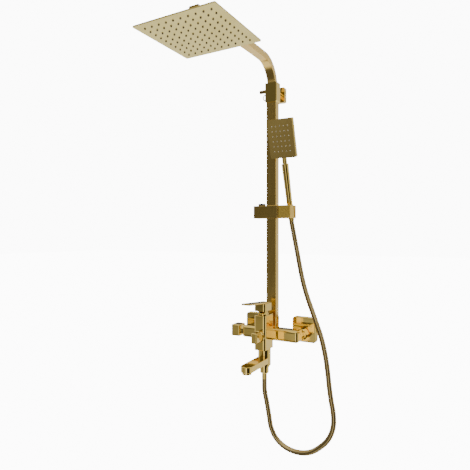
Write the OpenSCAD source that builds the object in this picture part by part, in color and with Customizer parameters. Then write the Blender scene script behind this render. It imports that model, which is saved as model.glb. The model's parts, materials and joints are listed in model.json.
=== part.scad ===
// Rainfall shower column with a bar mixer, a swivel spout and a hand shower.
// Origin: midway between the two wall inlets, on the wall plane. X right, Y into the wall, Z up.
// Distances from the wall are positive numbers here and lie along -Y.

/* [Wall inlets] */
// Centre distance of the two wall inlets
inlet_spacing = 150; // [140:1:160]
// Width and height of a square wall escutcheon
escutcheon_w = 73; // [60:1:80]
// Depth of a wall escutcheon
escutcheon_t = 12; // [9:1:16]
// Corner radius of a wall escutcheon
escutcheon_corner = 12; // [5:1:18]
// Wall of the escutcheons and of the bracket cover
cover_wall = 2; // [1.5:0.5:3]
// Length of the union thread inside the wall
union_tail = 20; // [15:1:30]
// Drop from the wall thread to the mixer axis
union_drop = 8.5; // [0:0.5:10]
// Radius of the wall thread
tail_r = 10.48; // [9:0.02:12]
// Radius of the union's front thread
union_r = 13.2; // [12:0.1:14]
// Width across the flats of a union nut
nut_flats = 30; // [29:0.5:34]

/* [Mixer] */
// Distance of the column and mixer bar axis from the wall
column_y = 64.5; // [60:0.5:72]
// Length of the mixer bar beyond the left inlet's axis
bar_over_left = 13; // [11:0.5:20]
// Length of the mixer bar beyond the right inlet's axis
bar_over_right = 7.5; // [7:0.5:20]
// Depth of the mixer bar
bar_d = 39; // [34:1:44]
// Height of the mixer bar
bar_h = 34; // [30:1:38]
// Rounding of the mixer bar's edges
bar_round = 8; // [3:0.5:10]
// Width of the valve post in front of the bar
post_w = 34; // [32:1:40]
// Depth of the valve post
post_d = 58; // [54:1:64]
// Clear gap between the bar and the post, bridged by the link
post_gap = 10.5; // [6:0.5:14]
// Height of the post's top above the wall inlets
post_top = 55; // [50:1:62]
// Depth of the post's foot below the wall inlets
post_foot = 39.5; // [34:0.5:44]
// Radius of the lever cartridge
cartridge_r = 12.5; // [11:0.1:13]
// Radius of the cartridge cover at its foot
cover_r = 15.5; // [14.8:0.1:16.5]
// Width of the lever hub
hub_w = 34; // [32:1:38]
// Depth of the lever hub
hub_d = 48; // [44:1:52]
// Height of the lever hub
hub_h = 21; // [17:1:25]
// Width of the lever blade
blade_w = 24; // [16:1:30]
// Thickness of the lever blade
blade_t = 4.5; // [3:0.5:6]
// Reach of the lever blade in front of the hub's back
blade_l = 131; // [110:1:150]
// Upward slope of the lever blade
blade_slope = 4.4; // [0:0.2:8]

/* [Diverters] */
// Length of the side diverter knob
side_knob_l = 27.5; // [20:0.5:34]
// Gap from the bar's end to the side knob
side_knob_gap = 9; // [6:0.5:12]
// Radius of the front diverter's disc
front_disc_r = 15.5; // [13:0.5:16.5]
// Thickness of the front diverter's disc
front_disc_t = 8; // [5:0.5:10]
// Width of the front diverter's grip
front_grip_w = 17; // [12:0.5:20]
// Height of the front diverter's grip
front_grip_h = 28; // [22:1:30]
// Length of the front diverter's grip
front_grip_l = 25; // [16:1:30]

/* [Spout] */
// Reach of the spout from its swivel axis
spout_l = 122; // [100:1:150]
// Width of the spout
spout_w = 31; // [26:1:34]
// Height of the spout
spout_h = 16; // [14:1:20]
// Radius of the fixed neck and of the swivel ring
neck_r = 17.5; // [16:0.5:19]
// Length of the fixed neck
neck_l = 18.5; // [14:0.5:26]
// Radius of the shaft that the spout turns on
shaft_r = 11; // [10:0.25:12]
// Radius of the aerator
aerator_r = 12; // [8:0.5:12]

/* [Column] */
// Width of the lower tube
riser_w = 30; // [28:0.5:34]
// Depth of the lower tube
riser_d = 22; // [20:0.5:26]
// Wall of the tubes
tube_wall = 1.2; // [1:0.1:1.6]
// Height of the lower tube's top
riser_top = 690; // [640:5:760]
// Width of the sliding upper tube
arm_w = 25; // [23:0.5:26]
// Depth of the sliding upper tube
arm_d = 17; // [15:0.5:18]
// Centre radius of the upper tube's bend
bend_r = 72; // [45:1:80]
// Sag of the gently arched arm from its crown to its end
arm_sag = 14; // [6:0.5:20]
// Reach of the upper tube's end from the wall
arm_reach = 471; // [420:1:560]
// Length of upper tube held inside the lower tube
arm_insert = 370; // [340:5:380]
// Travel of the upper tube
arm_travel = 260; // [200:10:280]

/* [Wall bracket] */
// Width of the bracket collar
collar_w = 36; // [35:0.5:40]
// Depth of the bracket collar
collar_d = 28; // [27.5:0.5:32]
// Height of the bracket collar
collar_h = 55; // [50:1:62]
// Radius of the stand-off rod
rod_r = 7.5; // [6:0.5:9]
// Width of the bracket's wall cover
flange_w = 32; // [30:1:40]
// Height of the bracket's wall cover
flange_h = 44; // [42:1:52]
// Depth of the bracket's wall cover
flange_t = 15; // [13.5:0.5:20]
// Radius of the lock screw's knob
lock_knob_r = 5; // [4.5:0.25:7]
// Length of the lock screw's knob
lock_knob_l = 18; // [12:1:22]
// Wire radius of the collar hook
hook_wire_r = 1.4; // [1:0.1:1.8]

/* [Rain head] */
// Side of the square head
head_w = 200; // [180:5:250]
// Thickness of each head plate
head_plate_t = 1.5; // [1:0.25:2]
// Height of the raised chamber on the head
chamber_h = 4; // [3:0.5:6]
// Side of the raised chamber on the head
chamber_w = 150; // [120:5:170]
// Nozzles along one side of the head
head_rows = 10; // [6:1:10]
// Spacing of the head's nozzles
head_pitch = 18; // [14:0.5:18]
// Radius of the joint ball
ball_r = 10.5; // [9.5:0.25:11]
// Drop from the arm's underside to the ball's centre
ball_drop = 20; // [18:0.5:24]

/* [Slider and holder] */
// Height of the slider and holder
slider_h = 36; // [30:1:42]
// Height of the slider's middle above the inlets
slider_z = 338; // [200:5:500]
// Reach of the slider to the left of the column axis
slider_left = 52.5; // [50:0.5:60]
// Reach of the slider to the right of the column axis
slider_right = 22.5; // [21:0.5:26]
// Depth of the slider
slider_d = 35; // [32:0.5:40]
// Radius of the release button
button_r = 10.5; // [8:0.5:11]
// Height of the release button above the slider
button_h = 6.5; // [5:0.5:9]
// Travel of the release button
button_travel = 3; // [2:0.5:4]
// Width of the holder
holder_w = 36; // [34:0.5:42]
// Depth of the holder
holder_d = 46; // [44:0.5:52]
// Forward tilt of the hand shower
handset_tilt = 17.5; // [10:0.5:20]
// Widest radius of the cone that sits in the holder
cone_r = 10; // [9.5:0.1:10.5]

/* [Hand shower] */
// Length of the stick
stick_l = 115; // [90:1:150]
// Radius of the stick's foot
stick_r0 = 8; // [7:0.25:9]
// Radius of the stick's top
stick_r1 = 9.75; // [8.5:0.25:10.5]
// Length of the neck under the plate
handset_neck_l = 17.5; // [12:0.5:24]
// Width of the hand shower's plate
plate_w = 80; // [70:1:90]
// Height of the hand shower's plate
plate_h = 105; // [90:1:120]
// Thickness of the hand shower's plate
plate_t = 11; // [9:0.5:14]
// Turn of the plate about the stick
plate_yaw = -10; // [-20:1:20]
// Nozzle columns of the hand shower
face_cols = 5; // [3:1:6]
// Nozzle rows of the hand shower
face_rows = 6; // [3:1:7]
// Spacing of the hand shower's nozzle columns
face_pitch_x = 12.5; // [9:0.5:14]
// Spacing of the hand shower's nozzle rows
face_pitch_z = 13.5; // [9:0.5:15]

/* [Hose] */
// Radius of the hose
hose_r = 7; // [6:0.5:7.5]

/* [Fits] */
// Gap between a pin and its bore
fit = 0.05; // [0.02:0.01:0.1]
// Gap between sliding or turning bodies
gap = 0.3; // [0.3:0.05:0.5]

/* [Hidden] */
$fn = 48;

gold = [0.72, 0.55, 0.25];
dark_gold = [0.45, 0.34, 0.14];
olive = [0.38, 0.32, 0.16];
black = [0.06, 0.06, 0.06];
cream = [0.88, 0.84, 0.72];

// Axis of the mixer bar below the wall inlets.
bar_z = -union_drop;
bar_left = inlet_spacing/2 + bar_over_left;
bar_right = inlet_spacing/2 + bar_over_right;
bar_back = column_y - bar_d/2;
bar_front = column_y + bar_d/2;
post_back = bar_front + post_gap;
post_front = post_back + post_d;
post_mid_y = post_back + post_d/2;
hub_front = post_front;
cartridge_y = hub_front - hub_d/2;
neck_y = post_mid_y - 3.5;

// Union: body against the wall, front thread, washer, mixer flange and nut.
union_body_l = 14;
washer_t = 2;
inlet_flange_t = 3;
inlet_r = 8.5;
inlet_bore = 5.5;
union_body_r = max(tail_r + 4, union_drop + inlet_bore + 3);
inlet_flange_r = 12.4;
flange_face = bar_back - 9 - inlet_flange_t;
union_front = flange_face - washer_t;
nut_l = 22;
nut_chamfer = 2;
escutcheon_edge = 4;
nut_back = bar_back - 4;
nut_front = nut_back - nut_l;

// Lever cartridge pocket, nut and cover.
pocket_deep = 40;
nut_seat = 7;
cartridge_nut_r = cartridge_r + 1.3;
cover_h = 9;
hub_base = post_top + cover_h + 2;
hub_wall = 3;
carrier_r = 8.5;
carrier_foot = post_top - nut_seat - 8;
pivot_z = post_top - nut_seat + 2;
pivot_r = 1.5;
stem_w = 7;
stem_top = hub_base + 14;
socket_w = 13;
socket_back = 9;
screw_z = hub_base + 10;

// Diverter plugs and knobs.
side_plug_r = 11;
side_pocket = 22;
plug_collar_r = 15;
knob_stem_r = 4;
knob_stem_l = 12;
knob_round = 4;
front_plug_r = 10;
front_pocket = 26;
port_r = 4;
front_z = bar_z + 7.5;
front_gap = 0.6;

// Spout and outlet.
neck_foot = post_foot + neck_l;
ring_h = spout_h + 10;
ring_foot = neck_foot + gap + ring_h;
spout_mid_z = -(neck_foot + gap + 4 + spout_h/2);
outlet_bore = 6;
seal_h = 2;
seal_w = 1.5;
nipple_flange = 5;
nipple_thread = 15;
nipple_r = shaft_r - 0.8;
nipple_top = ring_foot + gap;
hose_nut_l = 17;
hose_nut_top = nipple_top + nipple_flange;
ferrule_l = 16.5;
hose_foot = hose_nut_top + hose_nut_l + ferrule_l;
aerator_h = 9;

// Column, bush and bracket.
bar_top = bar_z + bar_h/2;
coupling_h = 32;
coupling_wall = 1;
stub_r = 9;
stub_h = 8;
riser_foot = bar_top + stub_h;
bush_lip = 4;
bush_skirt = 30;
collar_gap = 2.2;
corner = 2;
collar_foot = riser_top + bush_lip + 11 - collar_h;
collar_top = collar_foot + collar_h;
bend_z = riser_top;
rod_z = collar_top - 20;
lock_z = rod_z + 1;
lock_thread_r = 3;
spigot_r = 4;
hook_r = 8.5;
hook_shift = 3;
hook_z = collar_foot + 18;
plate_in_t = 4;
rod_boss_r = rod_r + 2.5;
rod_boss_l = 9;
wall_screw_r = 2;
wall_screw_neck = 2.3;
wall_screw_head = 3.6;
wall_screw_pitch = flange_h/2 - 7;

// Upper tube: quarter bend up to the crown, then an arch of large radius centred below the crown.
arm_foot = bend_z - arm_insert;
crown_y = column_y + bend_r;
arch_l = arm_reach - crown_y;
arch_r = (arch_l*arch_l + arm_sag*arm_sag)/(2*arm_sag);
arch_cz = bend_z + bend_r - arch_r;
end_cap = 1.5;
ball_y = arm_reach - 20;
arm_low_z = arch_cz + sqrt(pow(arch_r - arm_d/2, 2) - pow(ball_y - crown_y, 2));
ball_z = arm_low_z - ball_drop;
boss_r = 9;
boss_l = 3;
stem_hub_r = 12;
stem_hub_gap = stem_hub_r*(ball_y - crown_y)/arch_r + gap;
stem_neck_r = 5.5;
seat_in = ball_r + gap;
seat_out = seat_in + 1.7;
cup_r = seat_out + gap;
swivel_r = cup_r + 4.2;
head_collar_r = cup_r - 0.8;
swivel_top = 9;
collar_in_z = ball_z - 6;
head_top_z = ball_z - 12;
head_plate_z = head_top_z - chamber_h;
head_face_z = head_plate_z - 2*head_plate_t;
mat_t = 0.8;
nozzle_r = 2.5;
mat_w = (head_rows - 1)*head_pitch + 4*nozzle_r;
nozzle_out = 2;

// Slider.
slider_front = column_y + slider_d/2;
slider_back = column_y - slider_d/2;
slider_foot = slider_z - slider_h/2;
slider_head = slider_z + slider_h/2;
liner_t = 1.2;
button_x = -33.5;
button_skirt = 5;
spring_l = 14;
spring_r = button_r - 3;
spring_wire_r = 0.8;
spring_turns = 5;
spring_seat = 3;
spring_foot = slider_head - button_skirt - spring_l - spring_seat;
dish_r = 38;
dish_depth = 0.6;
shoe_z = slider_z - 10;
shoe_h = 8;
shoe_w = 10;
pivot_spigot_r = 7;
washer_x = 1.5;
holder_x0 = slider_right + washer_x;
holder_x1 = holder_x0 + holder_w;
spigot_l = 10;
holder_front = slider_front;
holder_back = holder_front - holder_d;
handset_x = holder_x1 - 10;
cone_taper = 1.5;
cone_l = 38;
slot_w = 2*hose_r + 1.5;
pivot_screw_r = 2.5;
screw_head_r = 4.5;
screw_head_x0 = riser_w/2 + liner_t + 2*gap;
screw_head_x1 = screw_head_x0 + 2.4;
screw_tip_x = holder_x0 + spigot_l + 8;

// Hand shower axis: it meets the holder's top face here.
grip_y = holder_front - 22.9;
thread_l = 12;
thread_r = stick_r0 - 1.5;
neck_bore_r = 3.5;
neck_spigot_r = 5.5;
neck_spigot_l = 10;
stick_foot = 1;
stick_top = stick_foot + stick_l + 1;
plate_foot = stick_top + handset_neck_l;
plate_corner = 5;
face_t = 1.6;
shell_wall = 2;
small_nozzle_r = 1.8;
upper_ferrule_l = 6;
upper_ferrule_r = hose_r + 0.6;

function on_axis(l) = [handset_x, -grip_y - l*sin(handset_tilt), slider_head + l*cos(handset_tilt)];
hose_straight = 10;
hose_start = [for (l = [0, hose_straight]) [0, -neck_y, -hose_foot - l]];
hose_end = [for (l = [hose_straight, fit]) on_axis(-cone_l - upper_ferrule_l - l)];

// Route of the hose, from the outlet down, round its loop and up to the hand shower.
hose_route = concat(hose_start, [
    [1, -120, -158], [7, -118, -191], [12, -116, -224], [17, -113, -257],
    [32, -110, -286], [59, -107, -305], [92, -104, -311], [124, -101, -304],
    [151, -97, -285], [172, -94, -260], [183, -91, -228], [182, -87, -195],
    [175, -83, -163], [169, -79, -130], [164, -75, -97], [158, -70, -65],
    [150, -66, -32], [140, -61, -1], [127, -57, 30], [114, -52, 60],
    [101, -48, 90], [89, -44, 121], [79, -40, 153], [71, -37, 186],
    [64, -35, 218], [57, -34, 251]], hose_end);

// Shared shapes.
module round_rect(w, h, r) {
    square([w - 2*r, h], center = true);
    square([w, h - 2*r], center = true);
    for (sx = [-1, 1], sy = [-1, 1])
        translate([sx*(w/2 - r), sy*(h/2 - r)]) circle(r);
}

module along_x(r, x0, x1) translate([x0, 0, 0]) rotate([0, 90, 0]) cylinder(r = r, h = x1 - x0);
module along_y(r, y0, y1) translate([0, y0, 0]) rotate([-90, 0, 0]) cylinder(r = r, h = y1 - y0);
module along_z(r, z0, z1) translate([0, 0, z0]) cylinder(r = r, h = z1 - z0);
module tube_z(w, d, z0, z1, r) translate([0, 0, z0]) linear_extrude(z1 - z0) round_rect(w, d, r);

// Box with upright edges rounded by r and the other edges by e.
module soft_box(w, d, h, r, e) {
    intersection() {
        linear_extrude(h, center = true) round_rect(w, d, r);
        rotate([90, 0, 0]) linear_extrude(d, center = true) round_rect(w, h, e);
        rotate([90, 0, 90]) linear_extrude(w, center = true) round_rect(d, h, e);
    }
}

// Hexagonal ring along Y with chamfered corners.
module hex_nut_y(flats, y0, y1, bore) {
    difference() {
        intersection() {
            translate([0, y0, 0]) rotate([-90, 0, 0]) cylinder(d = flats/cos(30), h = y1 - y0, $fn = 6);
            translate([0, y0, 0]) rotate([-90, 0, 0]) rotate_extrude() polygon([[0, 0], [flats/2, 0],
                [flats/2 + 1.5*nut_chamfer, nut_chamfer],
                [flats/2 + 1.5*nut_chamfer, y1 - y0 - nut_chamfer], [flats/2, y1 - y0], [0, y1 - y0]]);
        }
        along_y(bore, y0 - 1, y1 + 1);
    }
}

// Round tube swept along points, with its end rings square to its ends.
function unit(v) = v/norm(v);
function heading(p, i) = unit(p[min(i + 1, len(p) - 1)] - p[max(i - 1, 0)]);
function side_of(t) = unit(cross(t, [0.35, 1, 0.1]));
function ring(c, t, r, n) = [for (k = [0:n - 1])
    c + r*(cos(360*k/n)*side_of(t) + sin(360*k/n)*cross(t, side_of(t)))];
module swept_tube(p, r, n) {
    m = len(p);
    polyhedron(
        points = [for (i = [0:m - 1]) each ring(p[i], heading(p, i), r, n)],
        faces = concat(
            [[for (k = [0:n - 1]) k]],
            [for (i = [0:m - 2], k = [0:n - 1])
                [i*n + k, (i + 1)*n + k, (i + 1)*n + (k + 1)%n, i*n + (k + 1)%n]],
            [[for (k = [0:n - 1]) (m - 1)*n + n - 1 - k]]));
}

// Wall side.
module escutcheon(side) {
    translate([side*inlet_spacing/2, 0, 0]) difference() {
        escutcheon_form(escutcheon_w, escutcheon_t, escutcheon_corner);
        translate([0, cover_wall, 0])
            escutcheon_form(escutcheon_w - 2*cover_wall, escutcheon_t, escutcheon_corner - cover_wall);
        along_y(union_body_r + fit, -escutcheon_t - 1, 1);
    }
}

// Square plate on the wall whose front edge is rounded over.
module escutcheon_form(w, t, r) {
    intersection() {
        rotate([90, 0, 0]) linear_extrude(t) round_rect(w, w, r);
        linear_extrude(w, center = true) front_profile(w, t);
        rotate([0, 90, 0]) linear_extrude(w, center = true) front_profile(w, t);
    }
}

module front_profile(w, t) {
    e = escutcheon_edge;
    translate([-w/2, -t + e]) square([w, t - e]);
    translate([-w/2 + e, -t]) square([w - 2*e, t]);
    for (s = [-1, 1]) translate([s*(w/2 - e), -t + e]) circle(e);
}

module escutcheon_left() color(gold) escutcheon(-1);
module escutcheon_right() color(gold) escutcheon(1);

// Eccentric union: wall thread, body and lowered front thread.
module s_union(side) {
    translate([side*inlet_spacing/2, 0, 0]) difference() {
        union() {
            along_y(tail_r, -2, union_tail);
            along_y(union_body_r, -union_body_l, 0);
            translate([0, 0, bar_z]) along_y(union_r, -union_front, -union_body_l + 1);
        }
        along_y(inlet_bore, -union_body_l/2, union_tail + 1);
        translate([0, 0, bar_z]) along_y(inlet_bore, -union_front - 1, -union_body_l/2);
    }
}

module union_left() color(gold) s_union(-1);
module union_right() color(gold) s_union(1);

module union_nut(side) {
    translate([side*inlet_spacing/2, 0, bar_z]) difference() {
        hex_nut_y(nut_flats, -nut_back, -nut_front, inlet_r + 0.2);
        along_y(union_r + fit, -flange_face - inlet_flange_t, 1);
    }
}

module union_nut_left() color(gold) union_nut(-1);
module union_nut_right() color(gold) union_nut(1);

module union_washers() color(black) for (side = [-1, 1])
    translate([side*inlet_spacing/2, 0, bar_z]) difference() {
        along_y(inlet_flange_r, -flange_face, -union_front);
        along_y(inlet_bore, -flange_face - 1, -union_front + 1);
    }

// Mixer casting: bar, link, valve post, neck and swivel shaft, with its pockets.
module mixer_body() color(gold) difference() {
    union() {
        translate([(bar_right - bar_left)/2, -column_y, bar_z])
            soft_box(bar_left + bar_right, bar_d, bar_h, bar_round, bar_round);
        translate([0, -post_mid_y, (post_top - post_foot)/2])
            soft_box(post_w, post_d, post_top + post_foot, bar_round, 2);
        translate([0, -(bar_front + post_back)/2, bar_z])
            soft_box(post_w - 6, post_gap + 24, bar_h - 6, 2, 2);
        for (side = [-1, 1]) translate([side*inlet_spacing/2, 0, bar_z]) inlet();
        translate([0, -column_y, 0]) along_z(stub_r, bar_top - bar_round, bar_top + stub_h);
        translate([0, -neck_y, 0]) {
            along_z(neck_r, -neck_foot, -post_foot + 3);
            along_z(shaft_r, -nipple_top, -neck_foot + 1);
        }
    }
    for (side = [-1, 1]) translate([side*inlet_spacing/2, 0, bar_z])
        along_y(inlet_bore, -column_y, -flange_face + 1);
    translate([0, -cartridge_y, 0]) {
        along_z(cartridge_r + fit, post_top - pocket_deep, post_top + 1);
        along_z(cartridge_nut_r + fit, post_top - nut_seat, post_top + 1);
    }
    translate([0, -column_y, bar_z]) along_x(side_plug_r + fit, -bar_left - 1, -bar_left + side_pocket);
    translate([0, 0, front_z]) along_y(front_plug_r + fit, -post_front - 1, -post_front + front_pocket);
    translate([0, -column_y, 0]) along_z(outlet_bore, bar_z, bar_top + stub_h + 1);
    translate([0, -neck_y, 0]) {
        along_z(nipple_r - 2 + fit, -nipple_top - 1, -neck_foot + 6);
        for (z = seal_levels()) difference() {
            along_z(shaft_r + 1, z, z + seal_h);
            along_z(shaft_r - seal_w, z - 1, z + seal_h + 1);
        }
    }
}

function seal_levels() = [-neck_foot - 6, -ring_foot + 4];

module inlet() {
    along_y(inlet_r, -bar_back - bar_round, -flange_face);
    along_y(inlet_flange_r, -flange_face - inlet_flange_t, -flange_face);
}

// Lever valve.
module cartridge() color(cream) translate([0, -cartridge_y, 0]) difference() {
    along_z(cartridge_r, post_top - pocket_deep, post_top - nut_seat);
    along_z(carrier_r + fit, carrier_foot - fit, post_top);
}

module cartridge_nut() color(gold) translate([0, -cartridge_y, 0]) difference() {
    union() {
        along_z(cartridge_nut_r, post_top - nut_seat, post_top);
        along_z(cartridge_nut_r - 1.2, post_top - 1, post_top + 3);
    }
    along_z(carrier_r + gap, post_top - nut_seat - 1, post_top + 4);
}

module cartridge_cover() color(gold) translate([0, -cartridge_y, post_top]) difference() {
    rotate_extrude() polygon([[0, 0], [cover_r, 0], [cover_r, 2], [cover_r - 3, cover_h], [0, cover_h]]);
    along_z(cartridge_nut_r - 1.2 + fit, -1, 3.2);
    along_z(carrier_r + 1, -1, cover_h + 1);
}

// Carrier that turns in the cartridge; the stem tilts on its cross pin.
module cartridge_carrier() color("silver") translate([0, -cartridge_y, 0]) {
    difference() {
        along_z(carrier_r, carrier_foot, pivot_z + 3);
        translate([-stem_w/2 - gap, -carrier_r - 1, pivot_z - 5.5])
            cube([stem_w + 2*gap, 2*carrier_r + 2, 12]);
    }
    translate([0, 0, pivot_z]) along_x(pivot_r, -stem_w/2 - 1, stem_w/2 + 1);
}

module lever_stem() color("silver") translate([0, -cartridge_y, 0]) difference() {
    translate([-stem_w/2, -stem_w/2, pivot_z - 3]) cube([stem_w, stem_w, stem_top - pivot_z + 3]);
    translate([0, 0, pivot_z]) along_x(pivot_r + fit, -stem_w, stem_w);
}

// Cup over the cartridge with a socket for the stem, and the flat blade.
module lever_handle() color(gold) {
    difference() {
        translate([0, -cartridge_y, hub_base + hub_h/2]) soft_box(hub_w, hub_d, hub_h, bar_round, 1.5);
        difference() {
            translate([0, -cartridge_y, hub_base + (hub_h - hub_wall)/2 - 1])
                soft_box(hub_w - 2*hub_wall, hub_d - 2*hub_wall, hub_h - hub_wall, bar_round - hub_wall, 1);
            translate([-socket_w/2, -cartridge_y - socket_w/2, hub_base + 5])
                cube([socket_w, socket_w/2 + socket_back, hub_h]);
        }
        translate([-stem_w/2 - fit, -cartridge_y - stem_w/2 - fit, hub_base])
            cube([stem_w + 2*fit, stem_w + 2*fit, stem_top + gap - hub_base]);
        translate([0, 0, screw_z]) along_y(2.5 + fit, -cartridge_y, -cartridge_y + hub_d/2 - 1);
        translate([0, 0, screw_z])
            along_y(3.5, -cartridge_y + hub_d/2 - hub_wall - 1, -cartridge_y + hub_d/2 + 1);
    }
    translate([0, -cartridge_y + hub_d/2, hub_base + hub_h - blade_t + 0.5]) rotate([-blade_slope, 0, 0])
        translate([0, -blade_l/2, blade_t/2]) soft_box(blade_w, blade_l, blade_t, 3, 1.2);
}

module lever_screw() color(black) translate([0, 0, screw_z])
    along_y(2.5, -cartridge_y + stem_w/2 + fit, -cartridge_y + socket_back);

module lever_plug() color(gold) translate([0, 0, screw_z])
    along_y(3.5 - fit, -cartridge_y + hub_d/2 - hub_wall + 0.5, -cartridge_y + hub_d/2 + 0.4);

// Side diverter: a ported plug that turns in the bar's left end, and its knob.
module side_plug() color("silver") translate([0, -column_y, bar_z]) difference() {
    union() {
        along_x(side_plug_r, -bar_left - gap - 1, -bar_left + side_pocket - 0.5);
        along_x(plug_collar_r, -bar_left - side_knob_gap, -bar_left - gap);
        along_x(knob_stem_r, -bar_left - side_knob_gap - knob_stem_l, -bar_left - 1);
    }
    along_x(port_r, -bar_left + side_pocket/2, -bar_left + side_pocket);
    translate([-bar_left + side_pocket/2, 0, 0]) along_z(port_r, 0, side_plug_r + 1);
}

module side_knob() color(gold) translate([0, -column_y, bar_z]) difference() {
    translate([-bar_left - side_knob_gap - side_knob_l/2, 0, 0])
        soft_box(side_knob_l, bar_d, bar_h, knob_round, knob_round);
    along_x(knob_stem_r + fit, -bar_left - side_knob_gap - knob_stem_l - gap, -bar_left);
}

// Front diverter: a ported plug that turns in the post, and its knob.
module front_plug() color("silver") translate([0, -post_front, front_z]) difference() {
    union() {
        along_y(front_plug_r, 0, front_pocket - 0.5);
        along_y(knob_stem_r, -front_gap - knob_stem_l, 1);
    }
    along_y(port_r, front_pocket/2, front_pocket);
    translate([0, front_pocket/2, 0]) along_z(port_r, 0, front_plug_r + 1);
}

module front_knob() color(gold) translate([0, -post_front - front_gap, front_z]) difference() {
    union() {
        rotate([90, 0, 0]) rotate_extrude() polygon([[0, 0], [front_disc_r - 0.8, 0], [front_disc_r, 0.8],
            [front_disc_r, front_disc_t - 2], [front_disc_r - 2, front_disc_t], [0, front_disc_t]]);
        translate([0, -front_disc_t - front_grip_l/2 + 2, 0])
            rotate([90, 0, 0]) soft_box(front_grip_w, front_grip_h, front_grip_l + 4, knob_round, 3);
    }
    along_y(knob_stem_r + fit, -knob_stem_l - gap, 1);
}

// Swivel spout and outlet.
module spout() color(gold) translate([0, -neck_y, 0]) difference() {
    union() {
        along_z(neck_r, -ring_foot, -neck_foot - gap);
        translate([0, -(spout_l - spout_w/2)/2, spout_mid_z])
            soft_box(spout_w, spout_l - spout_w/2, spout_h, 1, 1);
        translate([0, -spout_l + spout_w/2, spout_mid_z - spout_h/2]) spout_nose();
    }
    along_z(shaft_r + fit, -ring_foot - 1, -neck_foot);
    translate([-spout_w/2 + 4, -spout_l + spout_w/2, spout_mid_z - spout_h/2 + 4])
        cube([spout_w - 8, spout_l - spout_w/2 - shaft_r + 2, spout_h - 8]);
    translate([0, -spout_l + spout_w/2, 0])
        along_z(aerator_r + fit - 1.5, spout_mid_z - spout_h, spout_mid_z);
}

module spout_nose() {
    rotate_extrude() polygon([[0, 0], [spout_w/2 - 1, 0], [spout_w/2, 1], [spout_w/2, spout_h - 1],
        [spout_w/2 - 1, spout_h], [0, spout_h]]);
}

module aerator_housing() color(dark_gold)
    translate([0, -neck_y - spout_l + spout_w/2, spout_mid_z - spout_h/2]) difference() {
        union() {
            along_z(aerator_r, -5, 0);
            along_z(aerator_r - 1.5, -1, 4);
        }
        along_z(aerator_r - 3, -6, 5);
    }

module aerator_insert() color(black)
    translate([0, -neck_y - spout_l + spout_w/2, spout_mid_z - spout_h/2]) difference() {
        along_z(aerator_r - 3 - fit, -4, 3);
        for (x = [-3:3], y = [-3:3]) if (norm([x, y])*2 < aerator_r - 4.5)
            translate([2*x - 0.6, 2*y - 0.6, -5]) cube([1.2, 1.2, 9]);
    }

module spout_seals() color(black) translate([0, -neck_y, 0]) for (z = seal_levels()) difference() {
    along_z(shaft_r, z, z + seal_h);
    along_z(shaft_r - seal_w, z - 1, z + seal_h + 1);
}

module outlet_nipple() color(gold) translate([0, -neck_y, 0]) difference() {
    union() {
        along_z(neck_r - 3.5, -nipple_top - nipple_flange, -nipple_top);
        along_z(nipple_r, -nipple_top - nipple_flange - nipple_thread + 3, -nipple_top - 1);
        along_z(nipple_r - 2, -nipple_top - 1, -nipple_top + 10);
    }
    along_z(outlet_bore - 1.5, -hose_foot, -neck_foot);
}

module hose_nut_lower() color(gold) translate([0, -neck_y, 0]) difference() {
    translate([0, 0, -hose_nut_top - hose_nut_l]) rotate_extrude()
        polygon([[0, 0], [10.5, 0], [12, 2], [12, hose_nut_l], [0, hose_nut_l]]);
    along_z(nipple_r + fit, -hose_nut_top - nipple_thread + 2.5, -hose_nut_top + 1);
    along_z(hose_r + fit, -hose_foot, -hose_nut_top);
}

module hose_ferrule_lower() color(gold) translate([0, -neck_y, 0]) difference() {
    union() {
        along_z(hose_r, -hose_foot, -hose_nut_top - nipple_thread + 3);
        along_z(nipple_r, -hose_nut_top - nipple_thread + 2.5, -hose_nut_top - nipple_thread + 3);
    }
    along_z(hose_r - 2.5, -hose_foot + 6, -hose_nut_top);
}

module shower_hose() color(dark_gold) swept_tube(hose_route, hose_r, 12);

// Column.
module riser_coupling() color(gold) translate([0, -column_y, 0]) difference() {
    tube_z(riser_w + 2*coupling_wall, riser_d + 2*coupling_wall, bar_top, bar_top + coupling_h,
        corner + coupling_wall);
    along_z(stub_r + fit, bar_top - 1, bar_top + stub_h + 1);
    tube_z(riser_w, riser_d, riser_foot, bar_top + coupling_h + 1, corner);
    difference() {
        translate([0, 0, bar_top + coupling_h/2]) cube([riser_w + 9, riser_d + 9, 1.6], center = true);
        cube([riser_w + 0.8, riser_d + 0.8, 4*coupling_h], center = true);
    }
}

module riser_tube() color(dark_gold) translate([0, -column_y, 0]) difference() {
    tube_z(riser_w, riser_d, riser_foot, riser_top, corner);
    tube_z(riser_w - 2*tube_wall, riser_d - 2*tube_wall, riser_foot - 1, riser_top + 1,
        corner - tube_wall/2);
    translate([0, 0, lock_z]) along_x(lock_thread_r + 0.5, -riser_w, 0);
}

module riser_bush() color(black) translate([0, -column_y, 0]) difference() {
    union() {
        tube_z(riser_w, riser_d, riser_top, riser_top + bush_lip, corner);
        tube_z(riser_w - 2*tube_wall - 2*fit, riser_d - 2*tube_wall - 2*fit, riser_top - bush_skirt,
            riser_top + 1, corner - tube_wall/2);
    }
    tube_z(arm_w + 2*gap, arm_d + 2*gap, riser_top - bush_skirt - 1, riser_top + bush_lip + 1, 1);
    translate([0, 0, lock_z]) along_x(lock_thread_r + 0.5, -riser_w, 0);
}

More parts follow.
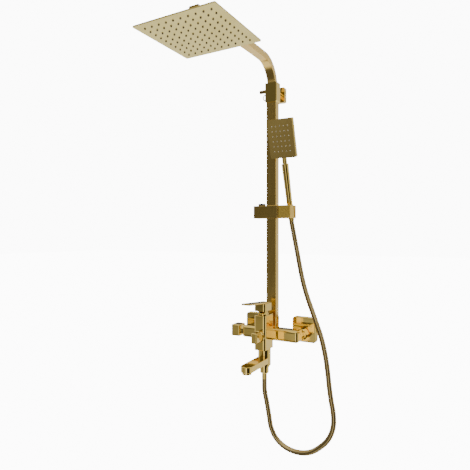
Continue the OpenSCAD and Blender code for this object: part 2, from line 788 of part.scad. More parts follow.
// Wall bracket.
module bracket_collar() color(gold) translate([0, -column_y, 0]) difference() {
    intersection() {
        tube_z(collar_w, collar_d, collar_foot, collar_top, corner);
        translate([0, 0, collar_foot]) rotate([90, 0, 0]) linear_extrude(2*collar_d, center = true)
            polygon([[-collar_w/2 + 3, 0], [collar_w/2 - 3, 0], [collar_w/2, 3], [collar_w/2, collar_h],
                [-collar_w/2, collar_h], [-collar_w/2, 3]]);
    }
    tube_z(riser_w, riser_d, collar_foot - 1, riser_top + bush_lip, corner);
    tube_z(arm_w + 2*collar_gap, arm_d + 2*collar_gap, riser_top, collar_top + 1, 1.5);
    translate([0, 0, lock_z]) along_x(lock_thread_r + fit, -collar_w, 0);
    translate([0, 0, rod_z]) along_y(spigot_r, riser_d/2, collar_d);
}

module lock_screw() color(gold) translate([0, -column_y, lock_z]) {
    along_x(lock_thread_r, -collar_w/2 - 5, -arm_w/2 - gap);
    translate([-collar_w/2 - 4, 0, 0]) rotate([0, -90, 0]) rotate_extrude()
        polygon([[0, 0], [lock_knob_r - 1.5, 0], [lock_knob_r, 2], [lock_knob_r, lock_knob_l - 1],
            [lock_knob_r - 1, lock_knob_l], [0, lock_knob_l]]);
}

// Wire hook: a ring cut off flush with the collar's left side.
module collar_hook() color(gold) difference() {
    translate([-collar_w/2 - hook_shift, -column_y, hook_z]) rotate([90, 0, 0]) rotate_extrude()
        translate([hook_r, 0]) circle(hook_wire_r);
    translate([-collar_w/2, -column_y - hook_r, hook_z - 2*hook_r]) cube([4*hook_r, 2*hook_r, 4*hook_r]);
}

module bracket_rod() color(gold) translate([0, 0, rod_z]) {
    along_y(rod_r, -column_y + collar_d/2, -plate_in_t);
    along_y(spigot_r, -column_y + riser_d/2 + gap, -column_y + collar_d/2 + 1);
}

module bracket_cover() color(gold) translate([0, 0, rod_z]) difference() {
    rotate([90, 0, 0]) linear_extrude(flange_t) round_rect(flange_w, flange_h, 4);
    translate([0, 1, 0]) rotate([90, 0, 0]) linear_extrude(flange_t - cover_wall + 1)
        round_rect(flange_w - 2*cover_wall, flange_h - 2*cover_wall, 2);
    along_y(rod_r + fit, -flange_t - 1, 1);
}

module bracket_plate() color("silver") translate([0, 0, rod_z]) difference() {
    union() {
        rotate([90, 0, 0]) linear_extrude(plate_in_t)
            round_rect(flange_w - 2*cover_wall - 0.4, flange_h - 2*cover_wall - 0.4, 1.8);
        along_y(rod_boss_r, -plate_in_t - rod_boss_l + 1, -plate_in_t + 1);
    }
    along_y(rod_r + fit, -flange_t, -plate_in_t);
    for (s = [-1, 1]) translate([0, 0, s*wall_screw_pitch]) along_y(wall_screw_neck + fit, -flange_t, 1);
}

module wall_screws() color("silver") for (s = [-1, 1]) translate([0, 0, rod_z + s*wall_screw_pitch]) {
    along_y(wall_screw_r, -1, union_tail);
    along_y(wall_screw_neck, -plate_in_t - 1, 0);
    along_y(wall_screw_head, -plate_in_t - 2.5, -plate_in_t);
}

// Upper tube.
module arm_path(w, d, z0, reach, r) {
    translate([0, -column_y, 0]) tube_z(w, d, z0, bend_z, r);
    translate([0, -crown_y, bend_z]) rotate([90, 0, 90]) rotate_extrude(angle = 90)
        translate([bend_r, 0]) round_rect(d, w, r);
    translate([0, -crown_y, arch_cz]) rotate([90, 0, 90]) rotate(90)
        rotate_extrude(angle = asin((reach - crown_y)/arch_r)) translate([arch_r, 0]) round_rect(d, w, r);
}

module arm_tube() color(dark_gold) difference() {
    union() {
        arm_path(arm_w, arm_d, arm_foot, arm_reach, corner);
        translate([0, -ball_y, 0]) along_z(boss_r, arm_low_z - boss_l, arm_low_z + 4);
    }
    arm_path(arm_w - 2*tube_wall, arm_d - 2*tube_wall, arm_foot - 1, arm_reach - end_cap,
        corner - tube_wall/2);
    translate([0, -ball_y, 0]) along_z(5, arm_low_z - boss_l - 1, arm_low_z + 5);
}

// Guide plug in the upper tube's foot, which runs inside the lower tube.
module arm_guide() color(black) translate([0, -column_y, 0]) difference() {
    union() {
        tube_z(riser_w - 2*tube_wall - 2*gap, riser_d - 2*tube_wall - 2*gap, arm_foot - 8, arm_foot, 1);
        tube_z(arm_w - 2*tube_wall - 2*fit, arm_d - 2*tube_wall - 2*fit, arm_foot - 1, arm_foot + 14,
            corner - tube_wall/2);
    }
    along_z(4, arm_foot - 9, arm_foot + 15);
}

// Ball joint and rain head.
module ball_stem() color(gold) translate([0, -ball_y, 0]) difference() {
    union() {
        translate([0, 0, ball_z]) sphere(ball_r);
        along_z(stem_neck_r, ball_z + 6, ball_z + 14);
        along_z(stem_hub_r, ball_z + 13, arm_low_z - stem_hub_gap);
    }
    along_z(boss_r + fit, arm_low_z - boss_l - gap, arm_low_z + 1);
    along_z(3, ball_z - ball_r - 1, arm_low_z);
}

module ball_seat() color(cream) translate([0, -ball_y, ball_z]) difference() {
    sphere(seat_out);
    sphere(seat_in);
    along_z(seat_out + 1, 2.5, seat_out + 1);
    along_z(6, -seat_out - 1, 0);
}

module swivel_nut() color(gold) translate([0, -ball_y, ball_z]) difference() {
    along_z(swivel_r, -9, swivel_top);
    sphere(cup_r);
    along_z(head_collar_r + fit, -10, -6);
    along_z(sqrt(cup_r*cup_r - swivel_top*swivel_top) - 0.1, 0, swivel_top + 1);
}

module head_top() color(gold) translate([0, -ball_y, 0]) difference() {
    union() {
        tube_z(head_w, head_w, head_plate_z - head_plate_t, head_plate_z, 3);
        tube_z(chamber_w, chamber_w, head_plate_z - 1, head_top_z, 6);
        along_z(head_collar_r, head_top_z - 1, collar_in_z);
        along_z(swivel_r + 6, head_top_z - 1, head_top_z + 1.5);
    }
    tube_z(chamber_w - 4, chamber_w - 4, head_face_z, head_top_z - head_plate_t, 4);
    tube_z(mat_w + gap, mat_w + gap, head_face_z, head_face_z + head_plate_t + mat_t, 2);
    translate([0, 0, ball_z]) sphere(cup_r);
    along_z(5, head_face_z, collar_in_z + 1);
}

module at_nozzles(count_x, count_y, pitch_x, pitch_y) {
    for (i = [0:count_x - 1], j = [0:count_y - 1])
        translate([(i - (count_x - 1)/2)*pitch_x, (j - (count_y - 1)/2)*pitch_y]) children();
}

module head_face() color(gold) translate([0, -ball_y, head_face_z]) linear_extrude(head_plate_t)
    difference() {
        round_rect(head_w, head_w, 3);
        at_nozzles(head_rows, head_rows, head_pitch, head_pitch) circle(nozzle_r);
    }

module head_nozzle_mat() color(cream) translate([0, -ball_y, head_face_z]) {
    tube_z(mat_w, mat_w, head_plate_t, head_plate_t + mat_t, 2);
    at_nozzles(head_rows, head_rows, head_pitch, head_pitch) {
        along_z(nozzle_r - fit, 0, head_plate_t + 0.2);
        translate([0, 0, -nozzle_out])
            cylinder(r1 = nozzle_r - 0.9, r2 = nozzle_r - 0.4, h = nozzle_out + 0.1);
    }
}

// Slider on the lower tube, with its release button.
module slider_body() color(dark_gold) difference() {
    union() {
        translate([(slider_right - slider_left)/2, -column_y, slider_z])
            soft_box(slider_left + slider_right, slider_d, slider_h, 1.5, 1);
        translate([0, -column_y, slider_z]) along_x(pivot_spigot_r, slider_right - 1, holder_x0 + spigot_l);
    }
    translate([0, -column_y, 0])
        tube_z(riser_w + 2*gap + 2*liner_t, riser_d + 2*gap + 2*liner_t,
            slider_foot - 1, slider_head + 1, corner);
    translate([button_x, -column_y, 0])
        along_z(button_r + gap, spring_foot, slider_head + 1);
    translate([button_x, -column_y - shoe_w/2 - gap, shoe_z - gap])
        cube([-button_x - riser_w/2, shoe_w + 2*gap, shoe_h + 2*gap]);
    translate([0, -column_y, slider_z]) {
        along_x(pivot_screw_r + fit, 0, holder_x0 + spigot_l + 1);
        along_x(screw_head_r + 0.4, 0, screw_head_x1 + gap);
    }
}

module slider_liner() color(black) translate([0, -column_y, 0]) difference() {
    tube_z(riser_w + 2*gap + 2*liner_t - 2*fit, riser_d + 2*gap + 2*liner_t - 2*fit,
        slider_foot + 0.5, slider_head - 0.5, corner);
    tube_z(riser_w + 2*gap, riser_d + 2*gap, slider_foot, slider_head, corner);
    translate([-riser_w, -shoe_w/2 - gap, shoe_z - gap]) cube([riser_w, shoe_w + 2*gap, shoe_h + 2*gap]);
}

module release_button() color(black) translate([button_x, -column_y, slider_head]) difference() {
    translate([0, 0, -button_skirt]) rotate_extrude() polygon([[0, 0], [button_r, 0],
        [button_r, button_skirt + button_h - 1], [button_r - 1, button_skirt + button_h],
        [0, button_skirt + button_h]]);
    translate([0, 0, button_h + dish_r - dish_depth]) sphere(dish_r);
    along_z(button_r - 2, -button_skirt - 1, -button_skirt + spring_seat);
}

module button_spring() color("silver") {
    z1 = slider_head - button_skirt + spring_seat - spring_wire_r;
    z0 = spring_foot + spring_wire_r;
    steps = 16*spring_turns;
    swept_tube([for (i = [0:steps]) [button_x + spring_r*cos(360*i/16), -column_y + spring_r*sin(360*i/16),
        z0 + (z1 - z0)*i/steps]], spring_wire_r, 6);
}

module brake_shoe() color(cream) translate([0, -column_y - shoe_w/2, shoe_z])
    difference() {
        translate([button_x + button_r + gap, 0, 0])
            cube([-button_x - button_r - 2*gap - riser_w/2, shoe_w, shoe_h]);
        translate([button_x, shoe_w/2, -1]) cylinder(r = button_r + 1, h = shoe_h + 2);
    }

// Holder: a block with an inclined cone and a slot to the right.
module holder() color(gold) difference() {
    translate([(holder_x0 + holder_x1)/2, -holder_front + holder_d/2, slider_z])
        soft_box(holder_w, holder_d, slider_h, 2, 1.5);
    translate(on_axis(0)) rotate([handset_tilt, 0, 0]) {
        cone_seat(gap);
        translate([0, -slot_w/2, -1.5*slider_h]) cube([holder_w, slot_w, 3*slider_h]);
    }
    translate([0, -column_y, slider_z]) {
        along_x(pivot_spigot_r + fit, holder_x0 - 1, holder_x0 + spigot_l + gap);
        along_x(pivot_screw_r + fit, holder_x0, screw_tip_x + gap);
    }
}

// Seat cone of the hand shower, widened by a clearance.
module cone_seat(clear) {
    translate([0, 0, -cone_l - 12]) cylinder(r1 = cone_r - cone_taper*(cone_l + 12)/cone_l + clear,
        r2 = cone_r + cone_taper*20/cone_l + clear, h = cone_l + 32);
}

module holder_washer() color(black) translate([0, -column_y, slider_z]) difference() {
    along_x(pivot_spigot_r + 4, slider_right, slider_right + washer_x - gap);
    along_x(pivot_spigot_r + fit, slider_right - 1, holder_x0);
}

// Shoulder screw, put in from inside the slider before it goes on the column.
module holder_screw() color("silver") translate([0, -column_y, slider_z]) difference() {
    union() {
        along_x(screw_head_r, screw_head_x0, screw_head_x1);
        along_x(pivot_screw_r, screw_head_x0 + 1, screw_tip_x);
    }
    along_x(1.5, screw_head_x0 - 1, screw_head_x0 + 1.5);
}

// Hand shower, built along its own axis and then tilted into the holder.
module in_hand() translate(on_axis(0)) rotate([handset_tilt, 0, 0]) children();

module hose_nut_upper() color(gold) in_hand() difference() {
    translate([0, 0, -cone_l]) cylinder(r1 = cone_r - cone_taper, r2 = cone_r, h = cone_l + 1);
    along_z(thread_r + fit, -thread_l - 0.5, 2);
    along_z(4, -cone_l + 3, 0);
    along_z(hose_r - 2, -cone_l - 1, -cone_l + 4);
}

module hose_ferrule_upper() color(gold) in_hand() {
    difference() {
        union() {
            along_z(upper_ferrule_r, -cone_l - upper_ferrule_l, -cone_l);
            along_z(hose_r - 2 - fit, -cone_l - 1, -cone_l + 3.5);
        }
        along_z(3, -cone_l - 1, -cone_l + 4);
    }
}

module handset_stick() color(gold) in_hand() difference() {
    union() {
        along_z(thread_r, -thread_l, stick_foot + 1);
        translate([0, 0, stick_foot]) cylinder(r1 = stick_r0, r2 = stick_r1, h = stick_top - stick_foot);
    }
    along_z(4, -thread_l - 1, stick_top - neck_spigot_l);
    along_z(neck_spigot_r + fit, stick_top - neck_spigot_l - gap, stick_top + 1);
}

module in_plate() in_hand() rotate([0, 0, plate_yaw]) translate([0, 0, plate_foot + plate_h/2]) children();

// Back shell of the plate with its round neck, open to the front under the face.
module handset_shell() color(gold) difference() {
    cavity_w = plate_w - 2*shell_wall - plate_corner/2;
    cavity_h = plate_h - 2*shell_wall - plate_corner/2;
    union() {
        in_hand() along_z(neck_spigot_r, stick_top - neck_spigot_l, stick_top + 1);
        in_hand() along_z(neck_spigot_r + 1, stick_top, plate_foot + shell_wall);
        in_plate() translate([0, face_t/2, 0]) rotate([90, 0, 0])
            soft_box(plate_w, plate_h, plate_t - face_t, plate_corner, 2);
    }
    in_hand() along_z(neck_bore_r, stick_top - neck_spigot_l - 1, plate_foot + 2*plate_corner);
    in_plate() translate([-cavity_w/2, -plate_t, -cavity_h/2])
        cube([cavity_w, 1.5*plate_t - shell_wall, cavity_h]);
    in_plate() translate([-plate_w/2, -1.5*plate_t, -plate_h/2]) cube([plate_w, plate_t + face_t, plate_h]);
}

module handset_face() color(olive) in_plate()
    translate([0, -plate_t/2 + face_t, 0]) rotate([90, 0, 0]) linear_extrude(face_t) difference() {
        round_rect(plate_w, plate_h, plate_corner);
        at_nozzles(face_cols, face_rows, face_pitch_x, face_pitch_z) circle(small_nozzle_r);
    }

module handset_nozzle_mat() color(cream) in_plate() translate([0, -plate_t/2 + face_t, 0])
    rotate([90, 0, 0]) {
        translate([0, 0, -1]) linear_extrude(1)
            square([(face_cols - 1)*face_pitch_x + 8, (face_rows - 1)*face_pitch_z + 8], center = true);
        at_nozzles(face_cols, face_rows, face_pitch_x, face_pitch_z) {
            translate([0, 0, -0.2]) cylinder(r = small_nozzle_r - fit, h = face_t + 0.2);
            translate([0, 0, face_t - 0.1])
                cylinder(r1 = small_nozzle_r - 0.3, r2 = small_nozzle_r - 0.7, h = 1.1);
        }
    }

escutcheon_left();
escutcheon_right();
union_left();
union_right();
union_nut_left();
union_nut_right();
union_washers();
mixer_body();
cartridge();
cartridge_nut();
cartridge_cover();
cartridge_carrier();
lever_stem();
lever_handle();
lever_screw();
lever_plug();
side_plug();
side_knob();
front_plug();
front_knob();
outlet_nipple();
spout_seals();
spout();
aerator_housing();
aerator_insert();
riser_coupling();
riser_tube();
riser_bush();
bracket_collar();
bracket_rod();
bracket_cover();
bracket_plate();
wall_screws();
collar_hook();
lock_screw();
arm_tube();
arm_guide();
ball_stem();
ball_seat();
swivel_nut();
head_top();
head_face();
head_nozzle_mat();
slider_body();
slider_liner();
release_button();
button_spring();
brake_shoe();
holder();
holder_screw();
holder_washer();
handset_stick();
handset_shell();
handset_face();
handset_nozzle_mat();
hose_nut_upper();
hose_ferrule_upper();
hose_nut_lower();
hose_ferrule_lower();
shower_hose();
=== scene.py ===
"""Looks of the rainfall shower column: camera, hose, button spring, finishes and light."""
import json
import math

import bpy
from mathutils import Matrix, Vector


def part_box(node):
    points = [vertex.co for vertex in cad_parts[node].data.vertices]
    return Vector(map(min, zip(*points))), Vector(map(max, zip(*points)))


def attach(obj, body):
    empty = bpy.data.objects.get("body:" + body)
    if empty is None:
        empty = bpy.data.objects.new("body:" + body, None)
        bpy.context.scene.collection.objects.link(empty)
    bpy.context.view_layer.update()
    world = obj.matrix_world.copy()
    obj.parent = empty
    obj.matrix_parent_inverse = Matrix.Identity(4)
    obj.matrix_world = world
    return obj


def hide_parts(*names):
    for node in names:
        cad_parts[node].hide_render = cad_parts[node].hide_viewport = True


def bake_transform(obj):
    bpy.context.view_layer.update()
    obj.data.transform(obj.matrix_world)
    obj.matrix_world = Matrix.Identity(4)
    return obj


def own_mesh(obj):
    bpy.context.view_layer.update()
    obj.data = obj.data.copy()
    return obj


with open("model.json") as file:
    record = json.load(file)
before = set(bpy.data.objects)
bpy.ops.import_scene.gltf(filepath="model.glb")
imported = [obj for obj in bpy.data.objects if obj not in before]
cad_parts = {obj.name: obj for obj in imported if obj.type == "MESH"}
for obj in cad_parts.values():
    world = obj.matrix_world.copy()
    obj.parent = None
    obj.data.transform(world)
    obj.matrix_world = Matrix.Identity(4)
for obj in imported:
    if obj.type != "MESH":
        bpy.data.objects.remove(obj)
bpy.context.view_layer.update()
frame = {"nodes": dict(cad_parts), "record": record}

# ---------------------------------------------------------------- camera
CAMERA_PLACE = (0.5356, -1.2746, 0.2759)
CAMERA_TURN = 30.975
SENSOR_WIDTH = 36.0
LENS = 35.15
SHIFT = (0.0415, -0.0026)
CLIP_END = 50.0


def make_camera():
    """A level camera in front of the wall, to the right, turned left towards the column."""
    data = bpy.data.cameras.new("camera")
    data.sensor_width = SENSOR_WIDTH
    data.lens = LENS
    data.shift_x, data.shift_y = SHIFT
    data.clip_end = CLIP_END
    camera = bpy.data.objects.new("camera", data)
    camera.location = CAMERA_PLACE
    camera.rotation_euler = (math.radians(90), 0, math.radians(CAMERA_TURN))
    bpy.context.scene.collection.objects.link(camera)
    bpy.context.scene.camera = camera


make_camera()

# ---------------------------------------------------------------- hose
MM = 0.001
HOSE_R = 7 * MM
# The strip that the hose is wound from stands up in one rounded rib per turn.
RIB_PITCH = 3.2 * MM
RIB_HEIGHT = 0.14 * MM
# Distance from ring to ring of the hose's mesh, and the points in each ring.
RING_STEP = 0.55 * MM
SIDES = 20
# The hand shower's axis crosses the holder's top face here and leans forward by this angle.
GRIP_PLACE = Vector((50, -59.1, 356)) * MM
GRIP_TILT = math.radians(17.5)
# Along that axis, from the top face down past the seat cone and the ferrule to the hose.
GRIP_TO_HOSE = 44 * MM
# Route of the hose in millimetres, between its two straight ends: down, round its loop and up.
ROUTE = [
    (1, -120, -158), (7, -118, -191), (12, -116, -224), (17, -113, -257),
    (32, -110, -286), (59, -107, -305), (92, -104, -311), (124, -101, -304),
    (151, -97, -285), (172, -94, -260), (183, -91, -228), (182, -87, -195),
    (175, -83, -163), (169, -79, -130), (164, -75, -97), (158, -70, -65),
    (150, -66, -32), (140, -61, -1), (127, -57, 30), (114, -52, 60),
    (101, -48, 90), (89, -44, 121), (79, -40, 153), (71, -37, 186),
    (64, -35, 218), (57, -34, 251),
]
# The hose leaves each of its two ferrules straight for this long.
STRAIGHT = 10 * MM
# Heights on the rising run where one section of hose ends and the next begins.
SECTION_HEIGHTS = (0.275, 0.303)


def hose_points():
    """The route's points, from the end of the lower ferrule to the end of the upper one."""
    low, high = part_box("hose_ferrule_lower")
    start = Vector(((low.x + high.x) / 2, (low.y + high.y) / 2, low.z))
    down_grip = Vector((0, math.sin(GRIP_TILT), -math.cos(GRIP_TILT)))
    end = GRIP_PLACE + GRIP_TO_HOSE * down_grip
    return ([start, start - Vector((0, 0, STRAIGHT))] + [Vector(p) * MM for p in ROUTE]
            + [end + STRAIGHT * down_grip, end])


def smooth_line(points, step):
    """Places along a smooth Catmull-Rom curve through the given points, about a step apart."""
    ends = [2 * points[0] - points[1]] + points + [2 * points[-1] - points[-2]]
    line = []
    for a, b, c, d in zip(ends, ends[1:], ends[2:], ends[3:]):
        count = max(2, round((c - b).length / step))
        for k in range(count):
            t = k / count
            line.append(0.5 * (2 * b + (c - a) * t + (2 * a - 5 * b + 4 * c - d) * t * t
                               + (3 * b - a - 3 * c + d) * t ** 3))
    return line + [points[-1]]


def rib(turn):
    """Height of the wound strip at a fraction of a turn: a broad round rib, a narrow groove."""
    return RIB_HEIGHT * (1 - abs(math.sin(math.pi * turn)) ** 3)


def frames_along(line):
    """Two directions across the line at each point, carried along it without twist."""
    side = Vector((1, 0, 0))
    frames = []
    for i in range(len(line)):
        ahead = (line[min(i + 1, len(line) - 1)] - line[max(i - 1, 0)]).normalized()
        side = (side - side.dot(ahead) * ahead).normalized()
        frames.append((side.copy(), ahead.cross(side)))
    return frames


def travelled(line):
    """Distance from the line's start to each of its points."""
    distance = [0.0]
    for a, b in zip(line, line[1:]):
        distance.append(distance[-1] + (b - a).length)
    return distance


def tube_mesh(name, line, frames, distance, cap_start, cap_end):
    """A ribbed tube along the line, closed at the ends that are asked for."""
    vertices, faces = [], []
    for centre, (u, v), s in zip(line, frames, distance):
        for k in range(SIDES):
            angle = 2 * math.pi * k / SIDES
            r = HOSE_R - RIB_HEIGHT + rib(s / RIB_PITCH - k / SIDES)
            vertices.append(centre + r * (math.cos(angle) * u + math.sin(angle) * v))
    for i in range(len(line) - 1):
        for k in range(SIDES):
            a, b = i * SIDES + k, i * SIDES + (k + 1) % SIDES
            faces.append((a, b, b + SIDES, a + SIDES))
    if cap_start:
        faces.append(tuple(reversed(range(SIDES))))
    if cap_end:
        faces.append(tuple(range(len(vertices) - SIDES, len(vertices))))
    mesh = bpy.data.meshes.new(name)
    mesh.from_pydata(vertices, [], faces)
    mesh.shade_smooth()
    obj = bpy.data.objects.new(name, mesh)
    bpy.context.scene.collection.objects.link(obj)
    return obj


def section_ends(line):
    """The numbers of the line's points where one section ends and the next begins."""
    lowest = min(range(len(line)), key=lambda i: line[i].z)
    rising = range(lowest, len(line))
    return [next(i for i in rising if line[i].z > height) for height in SECTION_HEIGHTS]


def make_hose():
    """One hose in three sections, cut at two heights on its rising run. One hose in three
    sections, because a blended piece may bend across one joint only.

    The two sections at the hand shower are short.
    """
    line = smooth_line(hose_points(), RING_STEP)
    frames, distance = frames_along(line), travelled(line)
    cuts = section_ends(line)
    spans = [(0, cuts[0]), (cuts[0], cuts[1]), (cuts[1], len(line) - 1)]
    sections = []
    for number, (first, last) in enumerate(spans):
        piece = slice(first, last + 1)
        obj = tube_mesh(f"hose_section_{number + 1}", line[piece], frames[piece], distance[piece],
                        first == 0, last == len(line) - 1)
        sections.append(obj)
    long_section, *end_sections = sections
    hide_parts("shower_hose")
    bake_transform(long_section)
    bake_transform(end_sections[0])
    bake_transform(end_sections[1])
    return sections


hose = make_hose()


# ---------------------------------------------------------------- button spring
def make_spring():
    """The release button's coil spring, a copy of the CAD one, carried by the slider."""
    spring = bpy.data.objects.new("button_coil", frame["nodes"]["button_spring"].data.copy())
    bpy.context.scene.collection.objects.link(spring)
    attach(spring, "slider")
    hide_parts("button_spring")
    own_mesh(spring)
    return spring


spring = make_spring()

# ---------------------------------------------------------------- materials
# Nearly all of a noise texture's values lie between these two.
NOISE_RANGE = (0.3, 0.7)
# Scales of the faint clouds in a colour, and the scale, height and strength of the fine grain.
METAL_CLOUDS = 14
METAL_GRAIN = 260
METAL_GRAIN_HEIGHT = 0.02 * MM
METAL_GRAIN_STRENGTH = 0.02
PLASTIC_CLOUDS = 30
PLASTIC_GRAIN = 500
PLASTIC_GRAIN_HEIGHT = 0.05 * MM
PLASTIC_GRAIN_STRENGTH = 0.25


def new_material(name):
    """A material with its node tree and its shader."""
    material = bpy.data.materials.new(name)
    material.use_nodes = True
    return material, material.node_tree, material.node_tree.nodes["Principled BSDF"]


def noise_node(tree, scale, detail=3.0, stretch=(1, 1, 1)):
    """Noise in the part's own coordinates, stretched along the axes."""
    place = tree.nodes.new("ShaderNodeTexCoord")
    mapping = tree.nodes.new("ShaderNodeMapping")
    mapping.inputs["Scale"].default_value = stretch
    texture = tree.nodes.new("ShaderNodeTexNoise")
    texture.inputs["Scale"].default_value = scale
    texture.inputs["Detail"].default_value = detail
    tree.links.new(place.outputs["Object"], mapping.inputs["Vector"])
    tree.links.new(mapping.outputs["Vector"], texture.inputs["Vector"])
    return texture


def vary(tree, source, low, high, target):
    """Drives a number between two values with a texture."""
    spread = tree.nodes.new("ShaderNodeMapRange")
    spread.inputs["From Min"].default_value = NOISE_RANGE[0]
    spread.inputs["From Max"].default_value = NOISE_RANGE[1]
    spread.inputs["To Min"].default_value = low
    spread.inputs["To Max"].default_value = high
    tree.links.new(source, spread.inputs["Value"])
    tree.links.new(spread.outputs["Result"], target)


def tint(tree, source, dark, light, target):
    """Drives a colour between two shades with a texture."""
    ramp = tree.nodes.new("ShaderNodeValToRGB")
    for element, place, shade in zip(ramp.color_ramp.elements, NOISE_RANGE, (dark, light)):
        element.position = place
        element.color = (*shade, 1)
    tree.links.new(source, ramp.inputs["Fac"])
    tree.links.new(ramp.outputs["Color"], target)


def relief(tree, source, distance, strength, shader):
    """Bumps a surface by a texture, at most by the distance."""
    bump = tree.nodes.new("ShaderNodeBump")
    bump.inputs["Distance"].default_value = distance
    bump.inputs["Strength"].default_value = strength
    tree.links.new(source, bump.inputs["Height"])
    tree.links.new(bump.outputs["Normal"], shader.inputs["Normal"])


def metal(name, dark, light, rough, stretch=(1, 1, 1), grain=METAL_GRAIN, strength=METAL_GRAIN_STRENGTH):
    """Plated metal with faint clouds in its colour and a fine grain in its polish."""
    material, tree, shader = new_material(name)
    shader.inputs["Metallic"].default_value = 1.0
    clouds = noise_node(tree, METAL_CLOUDS)
    tint(tree, clouds.outputs["Fac"], dark, light, shader.inputs["Base Color"])
    fine = noise_node(tree, grain, detail=4.0, stretch=stretch)
    vary(tree, fine.outputs["Fac"], rough[0], rough[1], shader.inputs["Roughness"])
    relief(tree, fine.outputs["Fac"], METAL_GRAIN_HEIGHT, strength, shader)
    return material


def plastic(name, dark, light, rough):
    """Moulded plastic or rubber with a fine grain."""
    material, tree, shader = new_material(name)
    clouds = noise_node(tree, PLASTIC_CLOUDS)
    tint(tree, clouds.outputs["Fac"], dark, light, shader.inputs["Base Color"])
    fine = noise_node(tree, PLASTIC_GRAIN, detail=2.0)
    vary(tree, fine.outputs["Fac"], rough[0], rough[1], shader.inputs["Roughness"])
    relief(tree, fine.outputs["Fac"], PLASTIC_GRAIN_HEIGHT, PLASTIC_GRAIN_STRENGTH, shader)
    return material


# Each finish has a darker and a lighter shade and the range of its roughness, and some metals the
# stretch, scale and strength of their grain, which runs up the column and across the head's face.
METALS = {
    "polished_gold": ((0.84, 0.59, 0.14), (0.92, 0.67, 0.18), (0.05, 0.09)),
    "column_gold": ((0.80, 0.54, 0.14), (0.88, 0.61, 0.18), (0.17, 0.23), (1, 1, 0.08)),
    "satin_gold": ((0.86, 0.58, 0.11), (0.93, 0.65, 0.14), (0.42, 0.50)),
    "deep_gold": ((0.30, 0.20, 0.06), (0.36, 0.25, 0.08), (0.10, 0.16)),
    "brushed_gold": ((0.72, 0.59, 0.18), (0.80, 0.66, 0.23), (0.24, 0.34), (0.04, 1, 1), 900, 0.12),
    "hose_gold": ((0.42, 0.31, 0.12), (0.50, 0.37, 0.15), (0.12, 0.20)),
    "face_olive": ((0.66, 0.47, 0.14), (0.74, 0.54, 0.17), (0.2, 0.28)),
    "bare_steel": ((0.50, 0.50, 0.49), (0.62, 0.62, 0.61), (0.2, 0.35)),
}
PLASTICS = {
    "nozzle_cream": ((0.92, 0.82, 0.56), (0.98, 0.90, 0.66), (0.45, 0.6)),
    # Painted shade: a dark brown for the rain head's nozzles, standing in for the shadow in and around
    # them.
    "nozzle_painted_shade": ((0.16, 0.12, 0.05), (0.24, 0.18, 0.08), (0.45, 0.6)),
    "black_plastic": ((0.010, 0.010, 0.010), (0.018, 0.018, 0.018), (0.25, 0.4)),
    "black_rubber": ((0.012, 0.012, 0.012), (0.02, 0.02, 0.02), (0.6, 0.8)),
    "white_plastic": ((0.70, 0.69, 0.64), (0.78, 0.77, 0.72), (0.4, 0.5)),
}
MATERIALS = {name: metal(name, *look) for name, look in METALS.items()}
MATERIALS.update({name: plastic(name, *look) for name, look in PLASTICS.items()})
# Pieces whose finish differs from the rest of their slot.
OWN_FINISH = {"holder": "satin_gold", "collar_hook": "deep_gold", "lock_screw": "deep_gold",
              # The rain head's nozzles get the dark brown painted shade, for the shadow in and around
              # them.
              "swivel_nut": "deep_gold", "head_nozzle_mat": "nozzle_painted_shade",
              "side_plug": "polished_gold", "front_plug": "polished_gold"}


def paint(obj, material):
    """Gives an object this one material."""
    obj.data.materials.clear()
    obj.data.materials.append(material)


def paint_all():
    """Gives each node its slot's finish or its own, and the scene's own pieces theirs."""
    slots = {part["node"]: part["material_slot"] for part in frame["record"]["subparts"]}
    for name, obj in frame["nodes"].items():
        paint(obj, MATERIALS[OWN_FINISH.get(name, slots[name])])
    for obj in hose:
        paint(obj, MATERIALS["hose_gold"])
    paint(spring, MATERIALS["bare_steel"])


paint_all()

# ---------------------------------------------------------------- stage and light
FLOOR_Z = -1.2
FLOOR_HALF = 30.0
FLOOR_SHADE = 0.9
FLOOR_ROUGHNESS = 0.9
# Brightness of the ground behind the part, which the room's strength multiplies.
BACKDROP = 5.5
ROOM_STRENGTH = 2.0


def make_floor():
    """A wide floor as bright as the ground. It neither lights the part nor mirrors in it."""
    mesh = bpy.data.meshes.new("floor")
    signs = ((-1, -1), (1, -1), (1, 1), (-1, 1))
    corners = [(x * FLOOR_HALF, y * FLOOR_HALF, FLOOR_Z) for x, y in signs]
    mesh.from_pydata(corners, [], [(0, 1, 2, 3)])
    floor = bpy.data.objects.new("floor", mesh)
    bpy.context.scene.collection.objects.link(floor)
    material, tree, shader = new_material("floor_white")
    shader.inputs["Base Color"].default_value = (FLOOR_SHADE, FLOOR_SHADE, FLOOR_SHADE, 1)
    shader.inputs["Roughness"].default_value = FLOOR_ROUGHNESS
    shader.inputs["Emission Color"].default_value = (1, 1, 1, 1)
    shader.inputs["Emission Strength"].default_value = ROOM_STRENGTH * BACKDROP
    paint(floor, material)
    floor.visible_glossy = False
    floor.visible_diffuse = False


def ramp_node(tree, source, stops):
    """A grey that runs through the given pairs of position and value."""
    ramp = tree.nodes.new("ShaderNodeValToRGB")
    points = ramp.color_ramp.elements
    while len(points) < len(stops):
        points.new(0.5)
    for point, (place, value) in zip(points, stops):
        point.position = place
        point.color = (value, value, value, 1)
    tree.links.new(source, ramp.inputs["Fac"])
    return ramp.outputs["Color"]


def mix_node(tree, factor, first, second, blend="MIX"):
    """Mixes two colours, each of them and the factor a node's output or a constant."""
    mix = tree.nodes.new("ShaderNodeMix")
    mix.data_type = "RGBA"
    mix.blend_type = blend
    for name, value in (("Factor", factor), ("A", first), ("B", second)):
        socket = mix.inputs[name]
        if isinstance(value, bpy.types.NodeSocket):
            tree.links.new(value, socket)
        else:
            socket.default_value = value
    return mix.outputs["Result"]


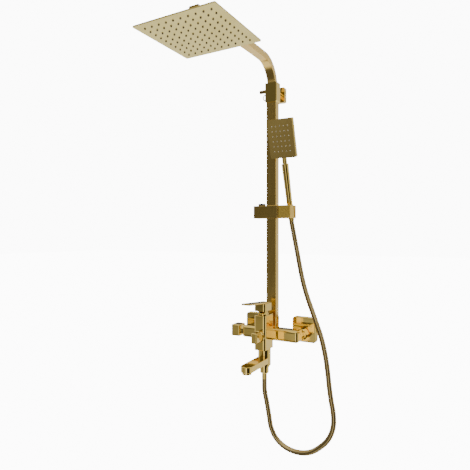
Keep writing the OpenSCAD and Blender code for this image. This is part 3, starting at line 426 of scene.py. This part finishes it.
def spread_node(tree, source, low, high):
    """Maps the range from low to high to 0 to 1."""
    spread = tree.nodes.new("ShaderNodeMapRange")
    spread.inputs["From Min"].default_value = low
    spread.inputs["From Max"].default_value = high
    tree.links.new(source, spread.inputs["Value"])
    return spread.outputs["Result"]


# Brightness of the room's walls before its strength, by the turn in degrees from +Y towards +X:
# above the horizon, just below it and far below it.
HIGH_BANDS = [(-180, 0.075), (-158, 0.06), (-112, 0.10), (-88, 0.4), (-75, 0.08), (-8, 0.08), (8, 0.42),
              (90, 0.42), (102, 0.02), (152, 0.015), (157, 0.8), (170, 0.8), (175, 0.075)]
LOW_BANDS = [(-180, 0.25), (-157.7, 0.25), (-157.3, 0.15), (-112, 0.2), (-85, 0.5), (60, 0.5), (90, 0.42),
             (102, 0.02), (152, 0.015), (157, 0.9), (170, 0.9), (175, 0.25)]
DEEP_BANDS = [(-180, 0.06), (-120, 0.06), (-85, 0.7), (90, 0.6), (102, 0.02), (152, 0.015), (157, 0.6),
              (170, 0.6), (175, 0.06)]
# The upright part of a direction, -1 to 1, over which each zone turns into the next one up.
DEEP_TO_LOW = (-0.36, -0.30)
LOW_TO_HIGH = (-0.18, -0.165)
WALL_TO_CEILING = (0.3, 0.6)
# Brightness of the ceiling before the room's strength.
CEILING = 0.5


def direction_nodes(tree):
    """The turn about the upright axis, as 0 to 1, and the upright part of a direction."""
    place = tree.nodes.new("ShaderNodeTexCoord")
    parts = tree.nodes.new("ShaderNodeSeparateXYZ")
    tree.links.new(place.outputs["Generated"], parts.inputs["Vector"])
    turn = tree.nodes.new("ShaderNodeMath")
    turn.operation = "ARCTAN2"
    tree.links.new(parts.outputs["X"], turn.inputs[0])
    tree.links.new(parts.outputs["Y"], turn.inputs[1])
    return spread_node(tree, turn.outputs[0], -math.pi, math.pi), parts.outputs["Z"]


def make_world():
    """A bright room, dark towards the viewer but for one strip, which the polished faces mirror."""
    world = bpy.data.worlds.new("studio")
    bpy.context.scene.world = world
    world.use_nodes = True
    tree = world.node_tree
    around, upright = direction_nodes(tree)
    high, low, deep = (ramp_node(tree, around, [((angle + 180) / 360, value) for angle, value in bands])
                       for bands in (HIGH_BANDS, LOW_BANDS, DEEP_BANDS))
    below = mix_node(tree, spread_node(tree, upright, *DEEP_TO_LOW), deep, low)
    walls = mix_node(tree, spread_node(tree, upright, *LOW_TO_HIGH), below, high)
    ceiling = ramp_node(tree, spread_node(tree, upright, *WALL_TO_CEILING), [(0, 0), (1, CEILING)])
    room = mix_node(tree, 1.0, walls, ceiling, "LIGHTEN")
    seen = tree.nodes.new("ShaderNodeLightPath")
    show = mix_node(tree, seen.outputs["Is Camera Ray"], room, (BACKDROP, BACKDROP, BACKDROP, 1))
    background = tree.nodes["Background"]
    tree.links.new(show, background.inputs["Color"])
    background.inputs["Strength"].default_value = ROOM_STRENGTH


make_floor()
make_world()
